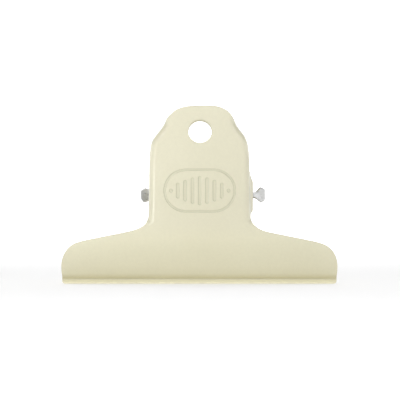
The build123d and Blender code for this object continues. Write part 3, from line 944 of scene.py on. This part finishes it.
def metal(name, light, dark, rough_lo, rough_hi, stretch_x, seed, lines=0.10):
    m, nt, b = material(name)
    tc = nt.nodes.new("ShaderNodeTexCoord")
    mp = node(nt, "ShaderNodeMapping")
    mp.inputs["Scale"].default_value = (stretch_x, 1, 1)
    nt.links.new(tc.outputs["Object"], mp.inputs["Vector"])
    v = mp.outputs["Vector"]
    patch = noise(nt, v, 260.0, 4, 0.6, seed)
    col = ramp(nt, patch, [(0.32, dark), (0.66, light)])
    pit = ramp(nt, noise(nt, tc.outputs["Object"], 1500.0, 2, 0.5, seed + 1), [(0.30, grey(0.6)), (0.42, grey(1.0))])
    col = mixc(nt, 0.35, col, pit, "MULTIPLY")
    nt.links.new(col, b.inputs["Base Color"])
    b.inputs["Metallic"].default_value = 1.0
    r = ramp(nt, noise(nt, v, 500.0, 3, 0.6, seed + 2), [(0.3, grey(rough_lo)), (0.7, grey(rough_hi))])
    nt.links.new(r, b.inputs["Roughness"])
    bp = node(nt, "ShaderNodeBump", Strength=lines, Distance=0.00004)
    nt.links.new(noise(nt, v, 800.0, 3, 0.6, seed + 3), bp.inputs["Height"])
    nt.links.new(bp.outputs["Normal"], b.inputs["Normal"])
    return m


m_pin = metal("zinc_plated_pin", (0.77, 0.772, 0.765), (0.58, 0.585, 0.58), 0.22, 0.36, 0.25, 11.0, 0.25)
m_wire = metal("spring_steel_wire", (0.50, 0.485, 0.46), (0.33, 0.315, 0.30), 0.30, 0.45, 0.6, 21.0, 0.15)


def give(ob, m):
    ob.data.materials.clear()
    ob.data.materials.append(m)


for ob in (front, rear):
    give(ob, m_enamel)
give(pin, m_pin)
for ob in springs:
    give(ob, m_wire)

# the CAD nodes behind the finished pieces take the same materials
for nm, m in (("front_plate", m_enamel), ("rear_plate", m_enamel), ("hinge_pin", m_pin), ("torsion_spring", m_wire)):
    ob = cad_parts[nm]
    for s in ob.material_slots:
        s.material = m

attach(front, "front")
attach(rear, "rear")
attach(pin, "pin")
for ob, s in zip(springs, (1, -1)):
    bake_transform(ob)
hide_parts("front_plate")
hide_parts("rear_plate")
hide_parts("hinge_pin")
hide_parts("torsion_spring")

# ---------------- studio ----------------
scene = bpy.context.scene
scene.view_settings.view_transform = "Standard"
scene.view_settings.look = "None"


def plane(name, size, loc, rot=(0, 0, 0)):
    me = bpy.data.meshes.new(name)
    s = size / 2
    me.from_pydata([(-s, -s, 0), (s, -s, 0), (s, s, 0), (-s, s, 0)], [], [(0, 1, 2, 3)])
    ob = bpy.data.objects.new(name, me)
    ob.location, ob.rotation_euler = loc, rot
    scene.collection.objects.link(ob)
    return ob


floor = plane("floor", 120.0, (0, 0, 0))
m_floor, nt, b = material("white_paper")
tc = nt.nodes.new("ShaderNodeTexCoord")
nt.links.new(ramp(nt, noise(nt, tc.outputs["Object"], 60.0, 4, 0.5, 31.0), [(0.3, grey(0.90)), (0.7, grey(0.93))]), b.inputs["Base Color"])
b.inputs["Roughness"].default_value = 0.9
b.inputs["Specular IOR Level"].default_value = 0.1
b.inputs["Emission Color"].default_value = (1, 1, 1, 1)
# painted shade and glow: the floor's emission is low close to the clip, a painted contact shadow, and rises towards
# the far floor, which glows
dist = node(nt, "ShaderNodeVectorMath")
dist.operation = "LENGTH"
nt.links.new(tc.outputs["Object"], dist.inputs[0])
floor_glow_painted_shade = node(nt, "ShaderNodeMapRange")
floor_glow_painted_shade.interpolation_type = "SMOOTHSTEP"
for k, x in ((1, 0.15), (2, 1.60), (3, 0.24), (4, 0.80)):
    floor_glow_painted_shade.inputs[k].default_value = x
nt.links.new(dist.outputs["Value"], floor_glow_painted_shade.inputs[0])
nt.links.new(floor_glow_painted_shade.outputs[0], b.inputs["Emission Strength"])
give(floor, m_floor)
back = plane("backdrop", 9.0, (0, 4.4, 4.4), (math.pi / 2, 0, 0))
m_back, nt, b = material("white_backdrop")
tc = nt.nodes.new("ShaderNodeTexCoord")
nt.links.new(ramp(nt, noise(nt, tc.outputs["Object"], 2.0, 2, 0.5, 32.0), [(0.3, grey(0.88)), (0.7, grey(0.90))]), b.inputs["Base Color"])
b.inputs["Emission Color"].default_value = (1, 1, 1, 1)
b.inputs["Emission Strength"].default_value = 0.75
give(back, m_back)
# low side walls, so that the horizon stays pale from the sides
walls = []
for k, x in (("left", -4.2), ("right", 4.2)):
    w = bpy.data.objects.new("wall_" + k, back.data.copy())
    w.location, w.rotation_euler = (x, 0, 0.3), (math.pi / 2, 0, math.pi / 2)
    w.scale = (1.0, 0.07, 1.0)
    scene.collection.objects.link(w)
    walls.append(w)
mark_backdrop(floor, back, *walls)

world = bpy.data.worlds.new("studio")
scene.world = world
world.use_nodes = True
world.node_tree.nodes["Background"].inputs["Color"].default_value = (1.0, 1.0, 1.0, 1)
world.node_tree.nodes["Background"].inputs["Strength"].default_value = 0.34


def area(name, loc, at, size, power, colour=(1, 1, 1)):
    d = bpy.data.lights.new(name, "AREA")
    d.shape = "RECTANGLE"
    d.size, d.size_y = size
    d.energy = power
    d.color = colour
    ob = bpy.data.objects.new(name, d)
    ob.location = loc
    ob.rotation_euler = (Vector(at) - Vector(loc)).to_track_quat("-Z", "Y").to_euler()
    scene.collection.objects.link(ob)
    return ob


area("key_left", (-1.15, -1.55, 0.75), (0, 0, 0.035), (0.8, 0.9), 2.35)
area("top_soft", (0.0, -1.1, 1.7), (0, 0, 0.035), (1.4, 1.2), 8.9)
area("fill_right", (1.0, -1.5, 0.35), (0, 0, 0.035), (0.8, 0.6), 1.95)
area("strip_left", (-0.50, -1.10, 0.16), (0, 0, 0.05), (0.42, 0.32), 1.2)
# a low light box lying in front of the clip on the left, for the sheen along the left bend
card = area("card_left", (-0.0586, -0.097, 0.0015), (-0.0586, -0.097, 0.2), (0.036, 0.085), 0.030)
card.rotation_euler = (math.pi, 0, math.radians(-24))

cam = bpy.data.objects.new("camera", bpy.data.cameras.new("camera"))
scene.collection.objects.link(cam)
cam.data.sensor_width = 36
cam.data.lens = 362.3
cam.data.clip_end = 30
cam.location = (0.00024, -1.606, 0.0334)
cam.rotation_euler = (math.pi / 2, 0, 0)
scene.camera = cam

size_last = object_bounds()


def plain(v):
    if isinstance(v, dict):
        return {k: plain(x) for k, x in v.items()}
    try:
        return float(v)
    except TypeError:
        return [plain(x) for x in v]


{"after_load": plain(size_first), "before_finish": plain(size_last)}
